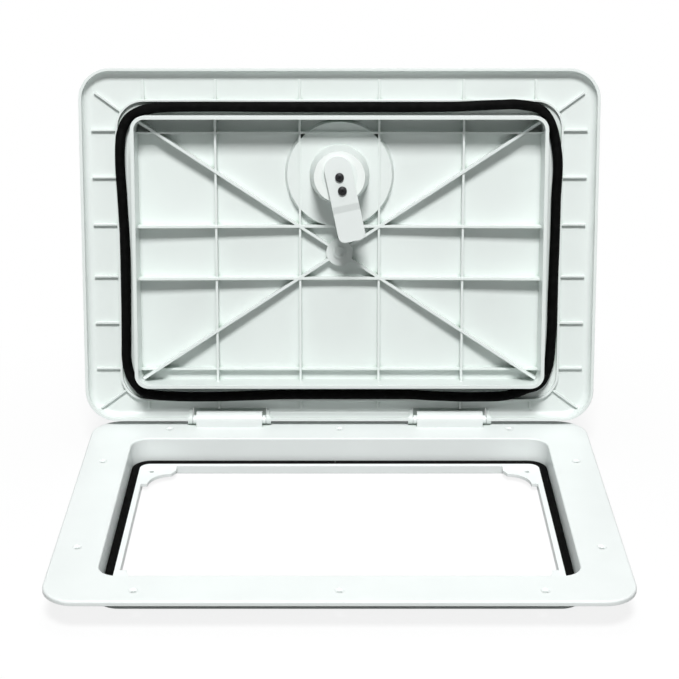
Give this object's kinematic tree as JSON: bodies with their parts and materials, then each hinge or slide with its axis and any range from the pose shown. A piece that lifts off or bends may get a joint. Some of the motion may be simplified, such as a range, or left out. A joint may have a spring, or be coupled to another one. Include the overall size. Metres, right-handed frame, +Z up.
{
  "type": "access hatch",
  "caption": "Moulded deck access hatch: flanged frame with a gasketed recess, ribbed lid on two wide hinge knuckles, and a turning latch with a cam arm.",
  "frame": {"origin": "centre of the deck screw pattern on the deck plane, which is the underside of the frame's flange", "axes": "+Z up out of the deck, +X along the hinge line to the right, +Y towards the hinge"},
  "size_m": [0.463, 0.3904, 0.3457],
  "materials": {
    "frame_plastic": "white moulded plastic, satin gloss",
    "lid_plastic": "white moulded plastic, satin gloss",
    "handle_plastic": "white moulded plastic, satin gloss",
    "arm_plastic": "fine grained white moulded plastic",
    "washer_plastic": "natural acetal",
    "seal_rubber": "black sponge rubber with a smooth skin",
    "pin_steel": "drawn stainless rod",
    "black_screw": "black oxide on stainless"
  },
  "bodies": {
    "frame_body": {"frame": "frame_plastic", "frame_gasket": "seal_rubber"},
    "lid_body": {"lid": "lid_plastic", "lid_cord_seal": "seal_rubber", "hinge_pin_left": "pin_steel", "hinge_pin_right": "pin_steel"},
    "latch_body": {"latch_handle": "handle_plastic", "shaft_o_rings": "seal_rubber", "wear_washer": "washer_plastic", "cam_arm": "arm_plastic", "cam_screws": "black_screw"}
  },
  "joints": [
    {"name": "lid_hinge", "type": "hinge", "parent": "frame_body", "child": "lid_body", "pos_m": [0, 0.1563, 0.0086], "axis": [1, 0, 0], "range_deg": [0, 102]},
    {"name": "latch_turn", "type": "hinge", "parent": "lid_body", "child": "latch_body", "pos_m": [0, 0.20235, 0.22812], "axis": [0, 0.9781, -0.2079], "range_deg": [-168, 12]}
  ]
}
